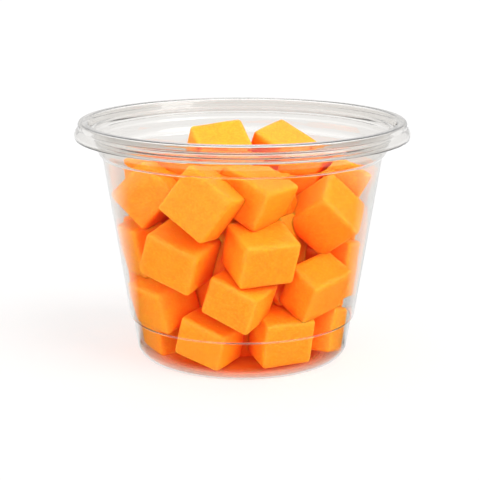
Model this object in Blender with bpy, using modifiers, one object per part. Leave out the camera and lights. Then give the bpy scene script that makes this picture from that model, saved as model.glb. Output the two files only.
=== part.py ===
# A clear plastic cup heaped with cubes of orange melon, standing on its flat base.
# Metres, +Z up, with the origin at the middle of the base. The front is towards -Y.
import math

import bmesh
import bpy
from mathutils import Euler, Matrix, Vector

MM = 0.001

# The cup: one thin formed sheet. Radii and heights are those of the middle of the sheet.
SHEET = 0.5 * MM
CUP_SIDES = 48
BASE_RADIUS = 32.8 * MM
HEEL_RADIUS = 4.6 * MM
WALL_SLOPE = 0.155
FOOT_RADIUS = 36.65 * MM
STEP_HEIGHT = 14.5 * MM
STEP_DEPTH = 0.9 * MM
SHOULDER_HEIGHT = 72.2 * MM
SHOULDER_RISE = 2.6 * MM
SHOULDER_DEPTH = 1.8 * MM
BEAD_TOP = 83.95 * MM
BEAD_INNER = 53.9 * MM
BEAD_OUTER = 57.0 * MM
LIP_RADIUS = 58.25 * MM
LIP_BOTTOM = 78.6 * MM

# The melon: cubes of about 16 mm, with softly rounded edges drawn as one flat chamfer.
CHAMFER = 1.1 * MM
CORE_LOW = 4.0 * MM
CORE_HIGH = 58.0 * MM
CORE_DEPTH = 16.0 * MM
CORE_CROWN = 10.0 * MM

# Each cube is its place in mm, its turn about X, Y and Z in degrees, and its sides in mm.
TOP_CUBES = [
    ((-9, 20, 68), (95, 35, -65), (13, 19, 19)),
    ((14, 29, 66), (100, 25, -35), (17, 17, 16)),
    ((-23, 4, 64), (85, -5, -15), (12, 15, 16)),
    ((22, 8, 63), (85, 10, -20), (14, 16, 16)),
    ((-3, 2, 62), (0, 75, 25), (16, 16, 16)),
    ((-32, -9, 59), (75, 40, -30), (16, 16, 13)),
    ((-13, -33, 61), (80, 35, -25), (18, 17, 15)),
    ((4, -22, 62), (90, 25, -35), (19, 14, 18)),
    ((29, -13, 53), (40, 25, -105), (16, 17, 17)),
    ((35, 1, 60), (75, 30, -10), (13, 16, 16)),
    ((29, 21, 60), (-10, -65, -15), (15, 14, 14)),
    ((-5, 37, 57), (-5, 20, 95), (13, 14, 15)),
    ((-32, 18, 60), (55, 80, -60), (15, 16, 15)),
    ((-18, 30, 56), (135, 5, -5), (13, 14, 13)),
    ((-14, -14, 56), (-20, -45, 30), (13, 14, 14)),
    ((10, -11, 57), (-5, -25, -30), (12, 12, 13)),
    ((6, 18, 53), (-135, -5, 135), (14, 14, 14)),
    ((12, 4, 52), (25, -30, 15), (13, 13, 14)),
]
FRONT_CUBES = [
    ((-21, -24, 41), (100, 20, -25), (19, 15, 17)),
    ((6, -29, 43), (90, 20, -65), (16, 15, 19)),
    ((25, -20, 29), (100, 30, -40), (12, 16, 18)),
    ((-1, -28, 27), (95, 20, -25), (17, 13, 16)),
    ((-27, -13, 23), (110, 5, -50), (17, 15, 15)),
    ((13, -20, 12), (90, 15, -65), (14, 16, 17)),
    ((-11, -21, 11), (95, 15, -30), (17, 13, 14)),
]
SIDE_CUBES = [
    ((-34, -6, 40), (105, 0, -60), (14, 17, 11)),
    ((34, -1, 31), (80, 5, -20), (10, 19, 16)),
    ((28, -7, 11), (75, 5, -20), (12, 15, 16)),
    ((-28, -1, 10), (100, 5, -60), (15, 16, 11)),
    ((-30, 4, 26), (0, 10, -125), (14, 15, 14)),
    ((-33, 10, 41), (-50, -75, 120), (13, 15, 12)),
    ((-26, 22, 46), (-100, -5, -25), (15, 15, 15)),
    ((-25, 14, 9), (10, 5, -155), (11, 12, 13)),
    ((31, 13, 44), (-115, 20, 55), (15, 14, 13)),
    ((25, 9, 9), (-5, 5, 35), (13, 13, 13)),
]


def circle_arc(centre_x, centre_z, radius, start, end, steps):
    """Points round part of a circle, with angles in degrees from +X."""
    points = []
    for index in range(steps + 1):
        angle = math.radians(start + (end - start) * index / steps)
        points.append((centre_x + radius * math.cos(angle), centre_z + radius * math.sin(angle)))
    return points


def wall_radius(height):
    """The middle of the cup's side wall, which is slightly wider above the step."""
    above_step = STEP_DEPTH if height > STEP_HEIGHT else 0.0
    return FOOT_RADIUS + WALL_SLOPE * height + above_step


def cup_profile():
    """The sheet from the lip's free edge, over the bead, down the wall and in to the axis."""
    bead_radius = 0.9 * MM
    points = [
        (LIP_RADIUS - 0.2 * MM, LIP_BOTTOM),
        (LIP_RADIUS, LIP_BOTTOM + 1.4 * MM),
        (LIP_RADIUS - 0.7 * MM, LIP_BOTTOM + 2.7 * MM),
        (BEAD_OUTER - 0.2 * MM, LIP_BOTTOM + 3.4 * MM),
    ]
    points += circle_arc(BEAD_OUTER - bead_radius, BEAD_TOP - bead_radius, bead_radius, 0, 90, 3)
    points += circle_arc(BEAD_INNER + bead_radius, BEAD_TOP - bead_radius, bead_radius, 90, 175, 3)
    # Two snap ledges for a lid run round inside the rim.
    points += [
        (53.1 * MM, 81.0 * MM),
        (52.3 * MM, 80.5 * MM),
        (52.2 * MM, 79.4 * MM),
        (51.5 * MM, 78.9 * MM),
        (51.3 * MM, 77.6 * MM),
        (50.8 * MM, 77.0 * MM),
    ]
    shoulder_top = SHOULDER_HEIGHT + SHOULDER_RISE
    shoulder_foot = wall_radius(SHOULDER_HEIGHT)
    points += [
        (shoulder_foot + SHOULDER_DEPTH, shoulder_top),
        (shoulder_foot + 0.8 * SHOULDER_DEPTH, shoulder_top - 0.45 * SHOULDER_RISE),
        (shoulder_foot + 0.45 * SHOULDER_DEPTH, shoulder_top - 0.8 * SHOULDER_RISE),
        (shoulder_foot, SHOULDER_HEIGHT),
        (wall_radius(STEP_HEIGHT + 0.3 * MM), STEP_HEIGHT + 0.3 * MM),
        (wall_radius(STEP_HEIGHT - 0.3 * MM), STEP_HEIGHT - 0.3 * MM),
    ]
    base_height = SHEET / 2
    wall_lean = math.degrees(math.atan(WALL_SLOPE))
    points += circle_arc(
        BASE_RADIUS, base_height + HEEL_RADIUS, HEEL_RADIUS, -wall_lean, -90, 5
    )
    points.append((0.0, base_height))
    return points


def material(name, colour, roughness, alpha=1.0):
    made = bpy.data.materials.new(name)
    made.use_nodes = True
    shader = made.node_tree.nodes["Principled BSDF"]
    shader.inputs["Base Color"].default_value = (*colour, 1.0)
    shader.inputs["Roughness"].default_value = roughness
    shader.inputs["Metallic"].default_value = 0.0
    shader.inputs["Alpha"].default_value = alpha
    return made


def make_cup(parts):
    """The cup is a Screw of the open sheet profile, with Solidify for its thickness."""
    points = cup_profile()
    mesh = bpy.data.meshes.new("cup")
    edges = [(index, index + 1) for index in range(len(points) - 1)]
    mesh.from_pydata([(x, 0.0, z) for x, z in points], edges, [])
    cup = bpy.data.objects.new("cup", mesh)
    parts.objects.link(cup)
    screw = cup.modifiers.new("Screw", "SCREW")
    screw.axis = "Z"
    screw.steps = CUP_SIDES
    screw.render_steps = CUP_SIDES
    screw.use_merge_vertices = True
    screw.merge_threshold = 0.00001
    sheet = cup.modifiers.new("Solidify", "SOLIDIFY")
    sheet.thickness = SHEET
    sheet.offset = 0.0
    sheet.use_even_offset = True
    cup.data.materials.append(material("clear_plastic", (0.92, 0.92, 0.90), 0.08, 0.25))
    return cup


def cube_places():
    """The place and sides of each cube: those at the back are the front ones turned half round."""
    places = []
    for place, turn, sides in TOP_CUBES + SIDE_CUBES + FRONT_CUBES:
        turned = Euler([math.radians(angle) for angle in turn]).to_matrix().to_4x4()
        places.append((Matrix.Translation(Vector(place) * MM) @ turned, Vector(sides) * MM))
    half_round = Matrix.Rotation(math.pi, 4, "Z")
    for placed, sides in places[-len(FRONT_CUBES):]:
        places.append((half_round @ placed, sides))
    return places


def make_core():
    """The packed middle of the heap, which every outer cube is sunk into."""
    core = bpy.data.meshes.new("melon_cubes")
    shape = bmesh.new()
    bmesh.ops.create_cone(
        shape,
        cap_ends=True,
        segments=20,
        radius1=wall_radius(CORE_LOW) - CORE_DEPTH,
        radius2=wall_radius(CORE_HIGH) - CORE_DEPTH,
        depth=CORE_HIGH - CORE_LOW,
        matrix=Matrix.Translation((0.0, 0.0, (CORE_LOW + CORE_HIGH) / 2)),
    )
    rim = [edge for edge in shape.edges if min(vert.co.z for vert in edge.verts) > CORE_HIGH - MM]
    bmesh.ops.bevel(
        shape,
        geom=rim,
        offset=CORE_CROWN,
        segments=2,
        profile=0.5,
        affect="EDGES",
    )
    shape.to_mesh(core)
    shape.free()
    return bpy.data.objects.new("melon_cubes", core)


def make_cube(name, placed, sides, collection):
    mesh = bpy.data.meshes.new(name)
    shape = bmesh.new()
    bmesh.ops.create_cube(shape, size=1.0, matrix=Matrix.Diagonal(sides).to_4x4())
    bmesh.ops.bevel(
        shape,
        geom=shape.edges[:],
        offset=CHAMFER,
        segments=1,
        profile=0.5,
        affect="EDGES",
    )
    shape.to_mesh(mesh)
    shape.free()
    cube = bpy.data.objects.new(name, mesh)
    cube.matrix_world = placed
    collection.objects.link(cube)


def make_melon(parts, cubes):
    """One heap: the core with the cubes that show joined to it."""
    for index, (placed, sides) in enumerate(cube_places()):
        make_cube(f"cube_{index}", placed, sides, cubes)
    heap = make_core()
    parts.objects.link(heap)
    union = heap.modifiers.new("Union", "BOOLEAN")
    union.operation = "UNION"
    union.operand_type = "COLLECTION"
    union.collection = cubes
    union.solver = "EXACT"
    bpy.context.view_layer.update()
    graph = bpy.context.evaluated_depsgraph_get()
    joined = bpy.data.meshes.new_from_object(heap.evaluated_get(graph))
    heap.modifiers.clear()
    heap.data = joined
    for cube in list(cubes.objects):
        bpy.data.objects.remove(cube, do_unlink=True)
    joined.materials.clear()
    joined.materials.append(material("melon_flesh", (0.95, 0.36, 0.04), 0.4))
    return heap


def main():
    for thing in list(bpy.data.objects):
        bpy.data.objects.remove(thing, do_unlink=True)
    parts = bpy.data.collections.new("fruit_cup")
    bpy.context.scene.collection.children.link(parts)
    cubes = bpy.data.collections.new("cutters")
    bpy.context.scene.collection.children.link(cubes)
    make_cup(parts)
    make_melon(parts, cubes)


main()
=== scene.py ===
import math
import random

import bmesh
import bpy
from mathutils import Euler, Matrix, Vector, noise
from mathutils.bvhtree import BVHTree


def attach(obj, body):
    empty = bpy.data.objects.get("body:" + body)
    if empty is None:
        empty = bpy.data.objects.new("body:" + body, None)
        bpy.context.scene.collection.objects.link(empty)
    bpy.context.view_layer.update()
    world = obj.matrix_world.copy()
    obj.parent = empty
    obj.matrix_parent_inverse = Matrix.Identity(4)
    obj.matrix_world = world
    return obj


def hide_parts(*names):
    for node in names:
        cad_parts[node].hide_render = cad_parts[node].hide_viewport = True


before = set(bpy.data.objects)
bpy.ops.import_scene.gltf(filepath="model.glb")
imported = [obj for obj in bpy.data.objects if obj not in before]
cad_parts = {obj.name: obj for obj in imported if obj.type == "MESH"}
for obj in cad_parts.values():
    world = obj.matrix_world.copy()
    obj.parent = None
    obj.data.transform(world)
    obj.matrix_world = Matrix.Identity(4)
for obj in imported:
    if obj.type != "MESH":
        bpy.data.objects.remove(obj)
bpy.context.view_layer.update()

mm = 0.001


def linearColour(hexText):
    # a hex colour as seen on screen, turned to the linear values that shaders take
    channels = [int(hexText[i:i + 2], 16) / 255 for i in (1, 3, 5)]
    return tuple(c / 12.92 if c < 0.04045 else ((c + 0.055) / 1.055) ** 2.4 for c in channels) + (1.0,)


def addNode(tree, kind, settings=None, links=None, **values):
    # one node with its settings, its socket values by name (or i1 for socket 1) and what feeds it
    node = tree.nodes.new(kind)
    for key, value in (settings or {}).items():
        setattr(node, key, value)
    for key, value in values.items():
        numbered = key[0] == "i" and key[1:].isdigit()
        socket = node.inputs[int(key[1:]) if numbered else key.replace("_", " ")]
        socket.default_value = value
    for key, source in (links or {}).items():
        tree.links.new(source, node.inputs[key])
    return node


def newMaterial(name):
    made = bpy.data.materials.new(name)
    made.use_nodes = True
    made.node_tree.nodes.clear()
    return made


def addPiece(name, shape, material, replaced):
    mesh = bpy.data.meshes.new(name)
    shape.to_mesh(mesh)
    shape.free()
    mesh.polygons.foreach_set("use_smooth", [True] * len(mesh.polygons))
    piece = bpy.data.objects.new(name, mesh)
    bpy.context.scene.collection.objects.link(piece)
    mesh.materials.append(material)
    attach(piece, "root")
    if replaced:
        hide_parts(replaced)
    return piece


# the camera stands at the photo's angle: places and lens in mm, tilt in degrees, axisOffset in pixels
cameraSettings = dict(
    distance=518.2, tilt=13.2, aimHeight=40.8, lens=109.35, sensor=36.0, nearest=20.0,
    axisOffset=2.35, photoWidth=480,
)


def placeCamera():
    s = cameraSettings
    tilt = math.radians(s["tilt"])
    data = bpy.data.cameras.new("camera")
    data.lens = s["lens"]
    data.sensor_width = s["sensor"]
    data.clip_start = s["nearest"] * mm
    data.shift_x = -s["axisOffset"] / s["photoWidth"]
    camera = bpy.data.objects.new("camera", data)
    camera.location = (
        0.0,
        -s["distance"] * mm * math.cos(tilt),
        (s["aimHeight"] + s["distance"] * math.sin(tilt)) * mm,
    )
    camera.rotation_euler = (math.pi / 2 - tilt, 0.0, 0.0)
    bpy.context.scene.collection.objects.link(camera)
    bpy.context.scene.camera = camera


placeCamera()
print("camera placed")


# the cup, in mm: the line runs through the middle of the sheet, and each corner is (x, z, rounding)
cupSettings = dict(
    sheet=0.5, roundSteps=224, arcSteps=4, heelSteps=8, mergeWithin=0.005,
    baseRadius=32.8, heelRadius=4.6, flatBefore=3.0, foot=36.65, slope=0.155,
    stepHeight=14.5, stepDepth=0.9, stepReach=0.34,
    shoulderHeight=72.2, shoulderRise=2.6, shoulderDepth=1.8, shoulderRounding=0.6,
    # the shoulder from its foot to its top: parts of its depth and of its rise, and the rounding
    shoulderLine=[(0.45, 0.2, 0.5), (0.8, 0.55, 0.5), (1.0, 1.0, 0.5)],
    # two ledges for a lid inside the rim, the bead on top and the skirt outside
    ledges=[
        (50.8, 77.0, 0.4), (51.3, 77.6, 0.3), (51.5, 78.9, 0.3),
        (52.2, 79.4, 0.3), (52.3, 80.5, 0.3), (53.1, 81.0, 0.35),
    ],
    bead=[(53.9, 83.95, 0.9), (57.0, 83.95, 0.9)],
    skirt=[(56.8, 82.0, 0.5), (57.55, 81.3, 0.5), (58.25, 80.0, 0.5), (58.05, 78.6, 0.0)],
    lipEnd=(-0.02, -0.18),
    # the look of the sheet, with the size and the height of its faint waves in mm
    tint="#eceae7", roughness=0.02, ior=1.57, waveSize=38.5, waveHeight=1.0, waveStrength=0.02,
)


def wallRadius(height):
    above = cupSettings["stepDepth"] if height > cupSettings["stepHeight"] else 0.0
    return cupSettings["foot"] + cupSettings["slope"] * height + above


def roundedLine(corners, steps):
    # a line through the corners, each one turned into an arc that takes up less than half a side
    mostOfSide = 0.48
    points = []
    for i, (x, z, reach) in enumerate(corners):
        here = Vector((x, z))
        if reach == 0 or i in (0, len(corners) - 1):
            points.append(here)
            continue
        before = Vector(corners[i - 1][:2]) - here
        after = Vector(corners[i + 1][:2]) - here
        start = here + before.normalized() * min(reach, before.length * mostOfSide)
        end = here + after.normalized() * min(reach, after.length * mostOfSide)
        for k in range(steps + 1):
            t = k / steps
            points.append(start * (1 - t) ** 2 + here * 2 * t * (1 - t) + end * t ** 2)
    return points


def offsetLine(points, distance):
    # the line moved sideways, for one face of the sheet
    moved = []
    for i, point in enumerate(points):
        ahead = points[min(i + 1, len(points) - 1)] - points[max(i - 1, 0)]
        side = Vector((ahead.y, -ahead.x)).normalized()
        moved.append(point + side * distance)
    return moved


def cupLine():
    # from the axis out along the base, up the wall and over the rim to the free edge
    s = cupSettings
    lean = math.atan(s["slope"])
    heel = s["heelRadius"]
    middle = s["sheet"] / 2
    corners = [(0.0, middle, 0), (s["baseRadius"] - s["flatBefore"], middle, 0)]
    for k in range(s["heelSteps"] + 1):
        angle = -math.pi / 2 + (math.pi / 2 - lean) * k / s["heelSteps"]
        x = s["baseRadius"] + heel * math.cos(angle)
        corners.append((x, middle + heel + heel * math.sin(angle), 0))
    for height in (s["stepHeight"] - s["stepReach"], s["stepHeight"] + s["stepReach"]):
        corners.append((wallRadius(height), height, s["stepReach"]))
    foot = wallRadius(s["shoulderHeight"])
    corners.append((foot, s["shoulderHeight"], s["shoulderRounding"]))
    for out, up, rounding in s["shoulderLine"]:
        height = s["shoulderHeight"] + up * s["shoulderRise"]
        corners.append((foot + out * s["shoulderDepth"], height, rounding))
    corners += s["ledges"] + s["bead"] + s["skirt"]
    return roundedLine(corners, s["arcSteps"])


def makeCup():
    s = cupSettings
    line = cupLine()
    outer = offsetLine(line, s["sheet"] / 2)
    inner = offsetLine(line, -s["sheet"] / 2)
    # both faces end on the axis
    outer[0] = Vector((0.0, 0.0))
    inner[0] = Vector((0.0, s["sheet"]))
    lip = line[-1] + Vector(s["lipEnd"])
    loop = outer + [lip] + inner[::-1]
    shape = bmesh.new()
    verts = [shape.verts.new((p.x * mm, 0.0, p.y * mm)) for p in loop]
    edges = [shape.edges.new(pair) for pair in zip(verts, verts[1:])]
    bmesh.ops.spin(
        shape, geom=verts + edges, cent=(0, 0, 0), axis=(0, 0, 1), dvec=(0, 0, 0),
        angle=2 * math.pi, steps=s["roundSteps"], use_merge=True, use_duplicate=False,
    )
    bmesh.ops.remove_doubles(shape, verts=shape.verts, dist=s["mergeWithin"] * mm)
    shape.normal_update()
    bmesh.ops.recalc_face_normals(shape, faces=shape.faces)
    return shape


def clearPlastic():
    # thermoformed PET sheet: clear and glossy, a trace of warm grey, and lamps shine through it
    s = cupSettings
    made = newMaterial("clearFormedPlastic")
    tree = made.node_tree
    coords = addNode(tree, "ShaderNodeTexCoord")
    # forming leaves faint, broad waves, which bend its reflections a little
    waves = addNode(
        tree, "ShaderNodeTexNoise", links={"Vector": coords.outputs["Object"]},
        Scale=1 / (s["waveSize"] * mm), Detail=1.0,
    )
    bump = addNode(
        tree, "ShaderNodeBump", links={"Height": waves.outputs["Fac"]},
        Strength=s["waveStrength"], Distance=s["waveHeight"] * mm,
    )
    sheet = addNode(
        tree, "ShaderNodeBsdfPrincipled", links={"Normal": bump.outputs["Normal"]},
        Base_Color=linearColour(s["tint"]), Roughness=s["roughness"], IOR=s["ior"], Transmission_Weight=1.0,
    )
    # shadow and diffuse rays pass straight through
    clear = addNode(tree, "ShaderNodeBsdfTransparent", Color=linearColour("#ffffff"))
    path = addNode(tree, "ShaderNodeLightPath")
    passing = addNode(
        tree, "ShaderNodeMath", {"operation": "MAXIMUM"},
        links={0: path.outputs["Is Shadow Ray"], 1: path.outputs["Is Diffuse Ray"]},
    )
    mix = addNode(
        tree, "ShaderNodeMixShader",
        links={0: passing.outputs[0], 1: sheet.outputs[0], 2: clear.outputs[0]},
    )
    addNode(tree, "ShaderNodeOutputMaterial", links={"Surface": mix.outputs[0]})
    return made


cup = addPiece("clearCup", makeCup(), clearPlastic(), "cup")
print("cup made", len(cup.data.polygons))


# the melon cubes, in mm
melonSettings = dict(
    seed=7, cells=12, rounding=1.5, roundingShare=0.25, roundingWaves=0.9, swell=1.3, skew=0.15,
    unevenness=0.14, waveSize=6.25, noiseReach=50.0, edgeStart=0.66, wallGap=0.2,
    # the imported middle, and the cubes that fill it
    coreLow=3.0, coreHigh=54.0, coreDepth=20.0, coreSides=32,
    fillCells=6, fillPitch=10.5, fillSide=14.0, fillSmallest=0.9, fillLargest=1.05, fillDepth=27.0,
    fillLow=6.0, fillHigh=4.0, fillStray=1.5, fillRise=1.0,
    # the painted shade: how shut in a point is, from rays of this length, and how much less of it level faces
    # get, as light from above reaches them
    rays=24, shadeReach=16.0, shadeStart=0.05, shadeFade=0.6, skyShare=0.45, shadeSmoothing=2,
    packedFrom=11.0, packedOver=8.0, packedTop=58.0, packedBelow=12.0, packedShade=0.85,
    # the look of the flesh, with the sizes of its grain and its patches in mm
    deepFlesh="#fc7f0a", paleFlesh="#ff8b10", fleshRange=(0.35, 0.95), patchSize=3.33, toneShare=0.12,
    speckled="#ffae30", speckRange=(0.36, 0.7), speckShare=0.6,
    grainSize=0.74, grainDetail=4.0, grainRoughness=0.7, grainHeight=0.2, grainStrength=0.25,
    # a painted highlight along the cube's edges
    paintedEdgeHighlight="#ffb040", edgeHighlightShare=0.3,
    # painted shade: the colour the flesh is given in the gaps
    paintedShade="#ee4c00", paintedShadeRange=(0.08, 0.88), paintedShadeShare=0.9, paintedShadePower=1.1,
    # a painted red glow in the deepest gaps
    glow="#ff2000", paintedGlowRange=(0.5, 0.9), paintedGlowStrength=0.035,
    roughness=0.5, specular=0.16, lightReach=4.0, lightColour=(0.7, 0.2, 0.05),
)

# each cube is its place in mm, its turn about X, Y and Z in degrees, and its sides in mm
topCubes = [
    ((-9, 20, 68), (95, 35, -65), (13, 19, 19)),
    ((14, 29, 66), (100, 25, -35), (17, 17, 16)),
    ((-23, 4, 64), (85, -5, -15), (12, 15, 16)),
    ((22, 8, 63), (85, 10, -20), (14, 16, 16)),
    ((-3, 2, 62), (0, 75, 25), (16, 16, 16)),
    ((-32, -9, 59), (75, 40, -30), (16, 16, 13)),
    ((-13, -33, 61), (80, 35, -25), (18, 17, 15)),
    ((4, -22, 62), (90, 25, -35), (19, 14, 18)),
    ((29, -13, 53), (40, 25, -105), (16, 17, 17)),
    ((35, 1, 60), (75, 30, -10), (13, 16, 16)),
    ((29, 21, 60), (-10, -65, -15), (15, 14, 14)),
    ((-5, 37, 57), (-5, 20, 95), (13, 14, 15)),
    ((-32, 18, 60), (55, 80, -60), (15, 16, 15)),
    ((-18, 30, 56), (135, 5, -5), (13, 14, 13)),
    ((-14, -14, 56), (-20, -45, 30), (13, 14, 14)),
    ((10, -11, 57), (-5, -25, -30), (12, 12, 13)),
    ((6, 18, 53), (-135, -5, 135), (14, 14, 14)),
    ((12, 4, 52), (25, -30, 15), (13, 13, 14)),
]
sideCubes = [
    ((-34, -6, 40), (105, 0, -60), (14, 17, 11)),
    ((34, -1, 31), (80, 5, -20), (10, 19, 16)),
    ((28, -7, 11), (75, 5, -20), (12, 15, 16)),
    ((-28, -1, 10), (100, 5, -60), (15, 16, 11)),
    ((-30, 4, 26), (0, 10, -125), (14, 15, 14)),
    ((-33, 10, 41), (-50, -75, 120), (13, 15, 12)),
    ((-26, 22, 46), (-100, -5, -25), (15, 15, 15)),
    ((-25, 14, 9), (10, 5, -155), (11, 12, 13)),
    ((31, 13, 44), (-115, 20, 55), (15, 14, 13)),
    ((25, 9, 9), (-5, 5, 35), (13, 13, 13)),
]
frontCubes = [
    ((-21, -24, 41), (100, 20, -25), (19, 15, 17)),
    ((6, -29, 43), (90, 20, -65), (16, 15, 19)),
    ((25, -20, 29), (100, 30, -40), (12, 16, 18)),
    ((-1, -28, 27), (95, 20, -25), (17, 13, 16)),
    ((-27, -13, 23), (110, 5, -50), (17, 15, 15)),
    ((13, -20, 12), (90, 15, -65), (14, 16, 17)),
    ((-11, -21, 11), (95, 15, -30), (17, 13, 14)),
]
# one more cube closes a gap that would show right through the heap
deepCubes = [((23, 4, 37), (40, 25, 10), (14, 14, 14))]


def cubePlaces():
    # the cubes that show: those at the back are the front ones turned half round
    places = []
    for place, turn, sides in deepCubes + topCubes + sideCubes + frontCubes:
        turned = Euler([math.radians(angle) for angle in turn]).to_matrix().to_4x4()
        places.append((Matrix.Translation(Vector(place)) @ turned, Vector(sides)))
    halfRound = Matrix.Rotation(math.pi, 4, "Z")
    for placed, sides in places[-len(frontCubes):]:
        places.append((halfRound @ placed, sides))
    return places


def fillPlaces(rng):
    # cubes packed inside the heap, which show deep in the gaps
    s = melonSettings
    pitch = s["fillPitch"]
    stray = s["fillStray"]
    places = []
    height = s["coreLow"] + s["fillLow"]
    while height < s["coreHigh"] - s["fillHigh"]:
        reach = wallRadius(height) - s["fillDepth"]
        count = int(reach // pitch) + 1
        for i in range(-count, count + 1):
            for k in range(-count, count + 1):
                x = i * pitch + rng.uniform(-stray, stray)
                y = k * pitch + rng.uniform(-stray, stray)
                if math.hypot(x, y) > reach:
                    continue
                turned = Euler([rng.uniform(0, math.pi) for _ in range(3)]).to_matrix().to_4x4()
                side = s["fillSide"] * rng.uniform(s["fillSmallest"], s["fillLargest"])
                z = height + rng.uniform(-s["fillRise"], s["fillRise"])
                places.append((Matrix.Translation((x, y, z)) @ turned, Vector((side, side, side))))
        height += pitch
    return places


def makeCube(placed, sides, tone, cells, rng):
    # a hand-cut cube: a gridded box pulled to rounded edges, then made slightly uneven
    s = melonSettings
    cube = bmesh.new()
    toneLayer = cube.verts.layers.float.new("tone")
    edgeLayer = cube.verts.layers.float.new("edge")
    bmesh.ops.create_cube(cube, size=2.0)
    bmesh.ops.subdivide_edges(cube, edges=cube.edges[:], cuts=cells - 1, use_grid_fill=True)
    half = sides / 2 + Vector((s["swell"], s["swell"], s["swell"])) / 2
    skew = [Vector([rng.uniform(-s["skew"], s["skew"]) for _ in range(3)]) for _ in range(3)]
    # each cube takes its unevenness from another part of the noise
    offset = Vector([rng.uniform(-s["noiseReach"], s["noiseReach"]) for _ in range(3)])
    for vert in cube.verts:
        # rows are closer together towards the edges, where the surface turns
        grid = [math.sin(value * math.pi / 2) for value in vert.co]
        wave = noise.noise(Vector(grid) * s["roundingWaves"] + offset)
        radius = s["rounding"] * (1 + s["roundingShare"] * wave)
        point = Vector([g * h for g, h in zip(grid, half)])
        inside = Vector([max(-h + radius, min(h - radius, p)) for p, h in zip(point, half)])
        point = inside + (point - inside).normalized() * radius
        # how far out the point is on its three axes: the second is near 1 along an edge
        near = sorted(abs(p) / h for p, h in zip(point, half))
        for axis in range(3):
            point += skew[axis] * grid[axis] * grid[(axis + 1) % 3]
        point += point.normalized() * s["unevenness"] * noise.noise(point / s["waveSize"] + offset)
        vert[toneLayer] = tone
        # the edge value masks a painted highlight along the cube's edges
        vert[edgeLayer] = max(0.0, (near[1] - s["edgeStart"]) / (1 - s["edgeStart"])) ** 2
        # soft fruit lies flat where it meets the cup
        point = placed @ point
        point.z = max(point.z, cupSettings["sheet"] + s["wallGap"])
        reach = wallRadius(point.z) - cupSettings["sheet"] / 2 - s["wallGap"]
        point.xy *= min(1.0, reach / (point.xy.length or 1.0))
        vert.co = point * mm
    cube.normal_update()
    return cube


def packedIn(point):
    # how far inside the heap a point is, from 0 near the wall or the top to 1 in the middle
    s = melonSettings
    height = point.z / mm
    behind = (wallRadius(height) - point.xy.length / mm - s["packedFrom"]) / s["packedOver"]
    below = (s["packedTop"] - height) / s["packedBelow"]
    return max(0.0, min(1.0, behind)) * max(0.0, min(1.0, below))


def skyRays(count):
    # directions spread evenly over a half sphere, fewer of them near its edge
    goldenAngle = math.pi * (3 - math.sqrt(5))
    rays = []
    for k in range(count):
        rise = math.sqrt((k + 0.5) / count)
        spread = math.sqrt(1 - rise * rise)
        rays.append(Vector((spread * math.cos(k * goldenAngle), spread * math.sin(k * goldenAngle), rise)))
    return rays


def shadeGaps(shape):
    # how shut in each point is, from 0 in the open to 1 deep in a gap: it sets the painted shade in the
    # flesh's colour
    s = melonSettings
    tree = BVHTree.FromBMesh(shape)
    gapLayer = shape.verts.layers.float.new("gap")
    rays = skyRays(s["rays"])
    reach = s["shadeReach"] * mm
    shape.normal_update()
    for vert in shape.verts:
        facing = vert.normal.to_track_quat("Z", "Y")
        start = vert.co + vert.normal * s["shadeStart"] * mm
        paintedShadeAmount = 0.0
        for ray in rays:
            hit = tree.ray_cast(start, facing @ ray, reach)
            if hit[0] is not None:
                paintedShadeAmount += 1.0 - s["shadeFade"] * hit[3] / reach
        # light from above reaches level faces more easily, so they get less painted shade
        vert[gapLayer] = paintedShadeAmount / len(rays) * (1.0 - s["skyShare"] * max(0.0, vert.normal.z))
    for _ in range(s["shadeSmoothing"]):
        near = [
            sum(edge.other_vert(vert)[gapLayer] for edge in vert.link_edges) / len(vert.link_edges)
            for vert in shape.verts
        ]
        for vert, value in zip(shape.verts, near):
            vert[gapLayer] = (vert[gapLayer] + value) / 2
    # points deep inside the heap get painted shade too, however open they are
    for vert in shape.verts:
        vert[gapLayer] = max(vert[gapLayer], s["packedShade"] * packedIn(vert.co))


def makeMelon():
    s = melonSettings
    rng = random.Random(s["seed"])
    shape = bmesh.new()
    single = bpy.data.meshes.new("oneCube")
    shown = [(placed, sides, s["cells"]) for placed, sides in cubePlaces()]
    hidden = [(placed, sides, s["fillCells"]) for placed, sides in fillPlaces(rng)]
    for placed, sides, cells in shown + hidden:
        cube = makeCube(placed, sides, rng.random(), cells, rng)
        cube.to_mesh(single)
        cube.free()
        shape.from_mesh(single)
    bpy.data.meshes.remove(single)
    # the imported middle, deep behind the cubes, so that no gap shows right through the heap
    low, high = s["coreLow"], s["coreHigh"]
    bmesh.ops.create_cone(
        shape, cap_ends=True, segments=s["coreSides"], depth=(high - low) * mm,
        radius1=(wallRadius(low) - s["coreDepth"]) * mm, radius2=(wallRadius(high) - s["coreDepth"]) * mm,
        matrix=Matrix.Translation((0.0, 0.0, (low + high) / 2 * mm)),
    )
    shadeGaps(shape)
    return shape


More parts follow.
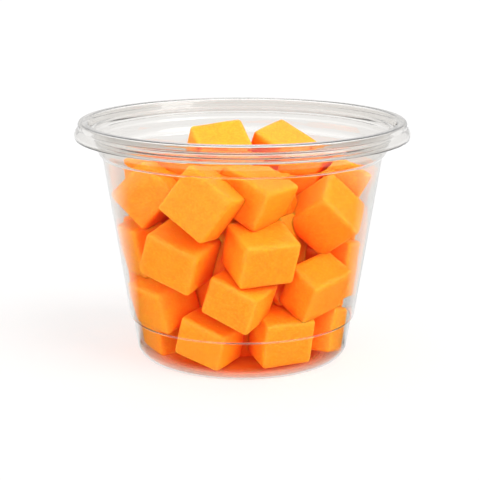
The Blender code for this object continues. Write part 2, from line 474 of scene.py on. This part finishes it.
def melonFlesh():
    # ripe orange melon, cut with a knife: soft and moist, with a fine fibrous grain. Its colour carries
    # painted shade that makes the gaps redder, a painted highlight that makes the cut edges paler, and a
    # painted red glow in the deepest gaps
    s = melonSettings
    made = newMaterial("orangeMelonFlesh")
    tree = made.node_tree
    coords = addNode(tree, "ShaderNodeTexCoord")
    tone = addNode(tree, "ShaderNodeAttribute", {"attribute_name": "tone"})
    edge = addNode(tree, "ShaderNodeAttribute", {"attribute_name": "edge"})
    gap = addNode(tree, "ShaderNodeAttribute", {"attribute_name": "gap"})
    # real fibres are finer still: the grain is as coarse as it needs to be to show
    grain = addNode(
        tree, "ShaderNodeTexNoise", links={"Vector": coords.outputs["Object"]},
        Scale=1 / (s["grainSize"] * mm), Detail=s["grainDetail"], Roughness=s["grainRoughness"],
    )
    # each cube has its own tone, with softer patches in it
    patches = addNode(
        tree, "ShaderNodeTexNoise", links={"Vector": coords.outputs["Object"]},
        Scale=1 / (s["patchSize"] * mm), Detail=3.0,
    )
    own = addNode(
        tree, "ShaderNodeMath", {"operation": "MULTIPLY"}, links={0: tone.outputs["Fac"]}, i1=s["toneShare"]
    )
    mixed = addNode(
        tree, "ShaderNodeMath", {"operation": "ADD"}, links={0: own.outputs[0], 1: patches.outputs["Fac"]}
    )
    colours = addNode(tree, "ShaderNodeValToRGB", links={"Fac": mixed.outputs[0]})
    ramp = colours.color_ramp.elements
    ramp[0].position, ramp[1].position = s["fleshRange"]
    ramp[0].color = linearColour(s["deepFlesh"])
    ramp[1].color = linearColour(s["paleFlesh"])
    speck = addNode(
        tree, "ShaderNodeMapRange", links={"Value": grain.outputs["Fac"]},
        From_Min=s["speckRange"][0], From_Max=s["speckRange"][1], To_Min=0.0, To_Max=s["speckShare"],
    )
    grained = addNode(
        tree, "ShaderNodeMix", {"data_type": "RGBA"},
        links={0: speck.outputs[0], 6: colours.outputs["Color"]}, i7=linearColour(s["speckled"]),
    )
    # painted highlight: the colour turns paler along the edges
    edgeHighlight = addNode(
        tree, "ShaderNodeMath", {"operation": "MULTIPLY"}, links={0: edge.outputs["Fac"]}, i1=s["edgeHighlightShare"]
    )
    edged = addNode(
        tree, "ShaderNodeMix", {"data_type": "RGBA"},
        links={0: edgeHighlight.outputs[0], 6: grained.outputs[2]}, i7=linearColour(s["paintedEdgeHighlight"]),
    )
    # painted shade: the more shut in the flesh is, the darker and redder it is painted
    paintedShadeAmount = addNode(
        tree, "ShaderNodeMapRange", links={"Value": gap.outputs["Fac"]},
        From_Min=s["paintedShadeRange"][0], From_Max=s["paintedShadeRange"][1], To_Min=0.0, To_Max=s["paintedShadeShare"],
    )
    depth = addNode(
        tree, "ShaderNodeMath", {"operation": "POWER"}, links={0: paintedShadeAmount.outputs[0]}, i1=s["paintedShadePower"]
    )
    paintedShadeMixed = addNode(
        tree, "ShaderNodeMix", {"data_type": "RGBA"},
        links={0: depth.outputs[0], 6: edged.outputs[2]}, i7=linearColour(s["paintedShade"]),
    )
    # painted glow: the deepest gaps give off a faint red light of their own
    paintedGlowAmount = addNode(
        tree, "ShaderNodeMapRange", links={"Value": gap.outputs["Fac"]},
        From_Min=s["paintedGlowRange"][0], From_Max=s["paintedGlowRange"][1], To_Min=0.0, To_Max=s["paintedGlowStrength"],
    )
    bump = addNode(
        tree, "ShaderNodeBump", links={"Height": grain.outputs["Fac"]},
        Strength=s["grainStrength"], Distance=s["grainHeight"] * mm,
    )
    shader = addNode(
        tree, "ShaderNodeBsdfPrincipled",
        links={
            "Base Color": paintedShadeMixed.outputs[2], "Normal": bump.outputs["Normal"],
            "Emission Strength": paintedGlowAmount.outputs[0],
        },
        Roughness=s["roughness"], Specular_IOR_Level=s["specular"], Emission_Color=linearColour(s["glow"]),
        Subsurface_Weight=1.0, Subsurface_Radius=s["lightColour"], Subsurface_Scale=s["lightReach"] * mm,
    )
    addNode(tree, "ShaderNodeOutputMaterial", links={"Surface": shader.outputs[0]})
    return made


melon = addPiece("melonCubes", makeMelon(), melonFlesh(), "melon_cubes")
print("melon made", len(melon.data.polygons))


# a film of juice lies in the bottom of the cup, in mm: within deepRadius it is painted a deep orange, for the
# orange light that the fruit throws down into the base
juiceSettings = dict(
    low=0.56, high=1.1, radius=35.2, footInset=1.0, segments=128, rimBevel=0.2,
    deepRadius=22.0, paleRadius=34.0, paleTint="#fff0e6", paintedBounceTint="#f0924a",
    paintedBounceOrange="#ec8428", cloudShare=0.6, roughness=0.25, softness=0.6,
    lightReach=3.0, lightColour=(1.0, 0.3, 0.1),
)


def makeJuice():
    s = juiceSettings
    middle = (s["low"] + s["high"]) / 2 * mm
    shape = bmesh.new()
    bmesh.ops.create_cone(
        shape, cap_ends=True, segments=s["segments"],
        radius1=(s["radius"] - s["footInset"]) * mm, radius2=s["radius"] * mm,
        depth=(s["high"] - s["low"]) * mm, matrix=Matrix.Translation((0.0, 0.0, middle)),
    )
    rim = [edge for edge in shape.edges if min(vert.co.z for vert in edge.verts) > middle]
    bmesh.ops.bevel(
        shape, geom=rim, offset=s["rimBevel"] * mm, segments=2, profile=0.5, affect="EDGES", material=-1
    )
    return shape


def melonJuice():
    # run juice with painted bounce light: a clear pale tint where it meets the wall, turning to an opaque
    # deep orange under the cubes, for the orange light that the fruit throws down into the base
    s = juiceSettings
    made = newMaterial("orangeMelonJuice")
    tree = made.node_tree
    coords = addNode(tree, "ShaderNodeTexCoord")
    away = addNode(
        tree, "ShaderNodeVectorMath", {"operation": "LENGTH"}, links={0: coords.outputs["Object"]}
    )
    # the mask for the painted orange: 1 under the cubes, 0 at the wall
    depth = addNode(
        tree, "ShaderNodeMapRange", {"interpolation_type": "SMOOTHSTEP"},
        links={"Value": away.outputs["Value"]},
        From_Min=s["deepRadius"] * mm, From_Max=s["paleRadius"] * mm, To_Min=1.0, To_Max=0.0,
    )
    tint = addNode(
        tree, "ShaderNodeMix", {"data_type": "RGBA"}, links={0: depth.outputs[0]},
        i6=linearColour(s["paleTint"]), i7=linearColour(s["paintedBounceTint"]),
    )
    thin = addNode(tree, "ShaderNodeBsdfTransparent", links={"Color": tint.outputs[2]})
    cloudy = addNode(
        tree, "ShaderNodeBsdfPrincipled", Base_Color=linearColour(s["paintedBounceOrange"]), Roughness=s["roughness"],
        Subsurface_Weight=s["softness"], Subsurface_Radius=s["lightColour"],
        Subsurface_Scale=s["lightReach"] * mm,
    )
    share = addNode(
        tree, "ShaderNodeMath", {"operation": "MULTIPLY"}, links={0: depth.outputs[0]}, i1=s["cloudShare"]
    )
    mix = addNode(
        tree, "ShaderNodeMixShader",
        links={0: share.outputs[0], 1: thin.outputs[0], 2: cloudy.outputs[0]},
    )
    addNode(tree, "ShaderNodeOutputMaterial", links={"Surface": mix.outputs[0]})
    return made


juice = addPiece("melonJuice", makeJuice(), melonJuice(), None)
print("juice made")


# soft studio light over a white floor: lengths in mm, angles in degrees
lightSettings = dict(
    # what the world gives to scattered light, to the eye and to plain reflections, where it is brighter
    # the higher up it is, and near the key: both ranges run up to 1
    worldStrength=0.78, worldSeen=1.02, horizonInGloss=0.75, zenithInGloss=2.2,
    overheadFrom=0.3, overheadTo=0.85, streakFrom=0.8, streakTo=0.98, keyInGloss=0.4,
    keyPlace=(0.75, -0.45, 0.75), keyStrength=1.45, keyAngle=40,
    fillPlace=(0.0, -1.0, 0.35), fillStrength=2.55,
    leftPlace=(-1.0, -0.5, 0.3), rightPlace=(1.0, -0.5, 0.3), sideStrength=1.8, softAngle=60,
    floorHalf=4000.0, floorColour="#a3a2a1", floorGlow=0.65, floorInGloss=1.0, quietInGloss=0.02,
    quietStart=39.0, quietStartFade=5.0, quietEnd=240.0, quietEndFade=67.2,
    quietBearing=15.0, brightBearing=52.0,
    # a painted pool of warm light on the paper under the cup
    paintedUnderGlow=0.5, paintedUnderColour="#ffc9a0", underFull=28.5, underNone=33.5,
)


def mirrorRay(tree):
    # 1 for light that a glossy surface has reflected just once, on its way from the eye
    path = addNode(tree, "ShaderNodeLightPath")
    glossy = addNode(
        tree, "ShaderNodeMath", {"operation": "COMPARE"}, links={0: path.outputs["Glossy Depth"]},
        i1=1.0, i2=0.5,
    )
    direct = addNode(
        tree, "ShaderNodeMath", {"operation": "LESS_THAN"}, links={0: path.outputs["Diffuse Depth"]}, i1=0.5
    )
    return addNode(
        tree, "ShaderNodeMath", {"operation": "MULTIPLY"}, links={0: glossy.outputs[0], 1: direct.outputs[0]}
    ).outputs[0]


def quietZone(tree, coords, away):
    # 1 on the floor before and beside the cup, 0 under it, far from it and behind it
    s = lightSettings
    axes = addNode(tree, "ShaderNodeSeparateXYZ", links={0: coords.outputs["Object"]})
    aside = addNode(tree, "ShaderNodeMath", {"operation": "ABSOLUTE"}, links={0: axes.outputs["X"]})
    clearOf = addNode(
        tree, "ShaderNodeMath", {"operation": "SUBTRACT"}, links={0: aside.outputs[0]},
        i1=cupSettings["foot"] * mm,
    )
    bearing = addNode(
        tree, "ShaderNodeMath", {"operation": "ARCTAN2"}, links={0: axes.outputs["Y"], 1: clearOf.outputs[0]}
    )
    ahead = addNode(
        tree, "ShaderNodeMapRange", links={"Value": bearing.outputs[0]}, To_Min=1.0, To_Max=0.0,
        From_Min=math.radians(s["quietBearing"]), From_Max=math.radians(s["brightBearing"]),
    )
    beyond = addNode(
        tree, "ShaderNodeMapRange", links={"Value": away.outputs["Value"]}, To_Min=0.0, To_Max=1.0,
        From_Min=s["quietStart"] * mm, From_Max=(s["quietStart"] + s["quietStartFade"]) * mm,
    )
    within = addNode(
        tree, "ShaderNodeMapRange", links={"Value": away.outputs["Value"]}, To_Min=1.0, To_Max=0.0,
        From_Min=(s["quietEnd"] - s["quietEndFade"]) * mm, From_Max=s["quietEnd"] * mm,
    )
    quiet = ahead.outputs[0]
    for part in (beyond, within):
        quiet = addNode(
            tree, "ShaderNodeMath", {"operation": "MULTIPLY"}, links={0: quiet, 1: part.outputs[0]}
        ).outputs[0]
    return quiet


def whitePaper():
    # matt white paper on a light table: some of its brightness is its own, which keeps shadows pale.
    # Where it is quiet in reflections, the clear wall shows no haze.
    s = lightSettings
    white = linearColour("#ffffff")
    made = newMaterial("whitePaper")
    tree = made.node_tree
    coords = addNode(tree, "ShaderNodeTexCoord")
    away = addNode(
        tree, "ShaderNodeVectorMath", {"operation": "LENGTH"}, links={0: coords.outputs["Object"]}
    )
    reflected = addNode(
        tree, "ShaderNodeMapRange", links={"Value": quietZone(tree, coords, away)},
        To_Min=s["floorInGloss"], To_Max=s["quietInGloss"],
    )
    matt = addNode(tree, "ShaderNodeBsdfDiffuse", Color=linearColour(s["floorColour"]))
    glow = addNode(tree, "ShaderNodeEmission", Strength=s["floorGlow"], Color=white)
    # painted light: a warm glow is added to the paper under the cup, for the light that would come down
    # through the fruit
    paintedUnderShare = addNode(
        tree, "ShaderNodeMapRange", links={"Value": away.outputs["Value"]},
        From_Min=s["underFull"] * mm, From_Max=s["underNone"] * mm, To_Min=s["paintedUnderGlow"], To_Max=0.0,
    )
    paintedWarmth = addNode(
        tree, "ShaderNodeEmission", links={"Strength": paintedUnderShare.outputs[0]}, Color=linearColour(s["paintedUnderColour"])
    )
    own = addNode(tree, "ShaderNodeAddShader", links={0: glow.outputs[0], 1: paintedWarmth.outputs[0]})
    paper = addNode(tree, "ShaderNodeAddShader", links={0: matt.outputs[0], 1: own.outputs[0]})
    mirrored = addNode(tree, "ShaderNodeEmission", links={"Strength": reflected.outputs[0]}, Color=white)
    mix = addNode(
        tree, "ShaderNodeMixShader", links={0: mirrorRay(tree), 1: paper.outputs[0], 2: mirrored.outputs[0]}
    )
    addNode(tree, "ShaderNodeOutputMaterial", links={"Surface": mix.outputs[0]})
    return made


def makeFloor():
    shape = bmesh.new()
    bmesh.ops.create_grid(shape, x_segments=1, y_segments=1, size=lightSettings["floorHalf"] * mm)
    mesh = bpy.data.meshes.new("floor")
    shape.to_mesh(mesh)
    shape.free()
    floor = bpy.data.objects.new("floor", mesh)
    bpy.context.scene.collection.objects.link(floor)
    mesh.materials.append(whitePaper())


def addSun(name, fromPlace, angle, strength, onlyOn=()):
    # a lamp far off towards fromPlace: one that lights some pieces alone also shows in their gloss
    sun = bpy.data.lights.new(name, "SUN")
    sun.angle = math.radians(angle)
    sun.energy = strength
    holder = bpy.data.objects.new(name, sun)
    holder.location = fromPlace
    holder.rotation_euler = Vector(fromPlace).to_track_quat("Z", "Y").to_euler()
    holder.visible_glossy = bool(onlyOn)
    bpy.context.scene.collection.objects.link(holder)
    if onlyOn:
        lit = bpy.data.collections.new(name + "Lit")
        for thing in onlyOn:
            lit.objects.link(thing)
        holder.light_linking.receiver_collection = lit


def makeWorld():
    # plain white to the eye, and brighter overhead in reflections, as under a large softbox
    s = lightSettings
    world = bpy.data.worlds.new("studio")
    world.use_nodes = True
    tree = world.node_tree
    tree.nodes.clear()
    path = addNode(tree, "ShaderNodeLightPath")
    scattered = addNode(
        tree, "ShaderNodeMath", {"operation": "GREATER_THAN"}, links={0: path.outputs["Diffuse Depth"]},
        i1=0.5,
    )
    coords = addNode(tree, "ShaderNodeTexCoord")
    axes = addNode(tree, "ShaderNodeSeparateXYZ", links={0: coords.outputs["Generated"]})
    overhead = addNode(
        tree, "ShaderNodeMapRange", links={"Value": axes.outputs["Z"]},
        From_Min=s["overheadFrom"], From_Max=s["overheadTo"],
        To_Min=s["horizonInGloss"], To_Max=s["zenithInGloss"],
    )
    # the key lamp shows as soft streaks along the rim
    towards = addNode(
        tree, "ShaderNodeVectorMath", {"operation": "DOT_PRODUCT"}, links={0: coords.outputs["Generated"]},
        i1=Vector(s["keyPlace"]).normalized(),
    )
    streak = addNode(
        tree, "ShaderNodeMapRange", {"interpolation_type": "SMOOTHSTEP"},
        links={"Value": towards.outputs["Value"]},
        From_Min=s["streakFrom"], From_Max=s["streakTo"], To_Min=0.0, To_Max=s["keyInGloss"],
    )
    mirrored = addNode(
        tree, "ShaderNodeMath", {"operation": "ADD"}, links={0: overhead.outputs[0], 1: streak.outputs[0]}
    )
    seen = addNode(
        tree, "ShaderNodeMix", links={0: mirrorRay(tree), 3: mirrored.outputs[0]}, i2=s["worldSeen"]
    )
    strength = addNode(
        tree, "ShaderNodeMix", links={0: scattered.outputs[0], 2: seen.outputs[0]}, i3=s["worldStrength"]
    )
    back = addNode(
        tree, "ShaderNodeBackground", links={"Strength": strength.outputs[0]}, Color=linearColour("#ffffff")
    )
    addNode(tree, "ShaderNodeOutputWorld", links={"Surface": back.outputs[0]})
    bpy.context.scene.world = world


def makeLights():
    s = lightSettings
    addSun("key", s["keyPlace"], s["keyAngle"], s["keyStrength"])
    # softboxes in front and at both sides light the fruit alone
    softboxes = (
        ("fill", s["fillPlace"], s["fillStrength"]),
        ("left", s["leftPlace"], s["sideStrength"]),
        ("right", s["rightPlace"], s["sideStrength"]),
    )
    for name, place, strength in softboxes:
        addSun(name, place, s["softAngle"], strength, onlyOn=(melon, juice))


makeFloor()
makeWorld()
makeLights()
bpy.context.scene.view_settings.view_transform = "Standard"
print("lights set")
